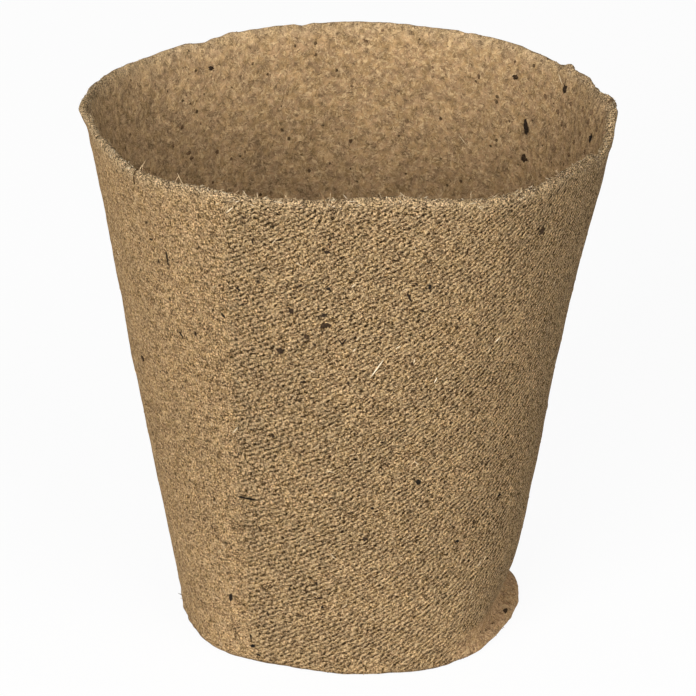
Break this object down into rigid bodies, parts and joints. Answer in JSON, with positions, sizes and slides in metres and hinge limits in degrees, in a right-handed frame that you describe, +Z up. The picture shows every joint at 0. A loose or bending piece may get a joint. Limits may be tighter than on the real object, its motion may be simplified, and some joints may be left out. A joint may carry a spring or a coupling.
{
  "type": "peat pot",
  "caption": "Round tapered planting pot of felted peat and wood fibre, with a torn rim, a closed foot and a drainage hole, for sowing and planting out.",
  "frame": {"origin": "centre of the drainage hole at the foot of the base disc, on the surface the pot stands on", "axes": "+Z up along the drainage hole to the open rim, +X to the side whose foot is pressed in, the closing seam towards -X and -Y"},
  "size_m": [0.082, 0.0801, 0.0838],
  "materials": {
    "wall_felt": "felted peat and wood fibre, matt, printed with the cloth it was pressed against",
    "base_felt": "felted peat and wood fibre, matt, smoother at its edge"
  },
  "bodies": {
    "root": {"side_wall": "wall_felt", "base_disc": "base_felt"}
  },
  "joints": []
}
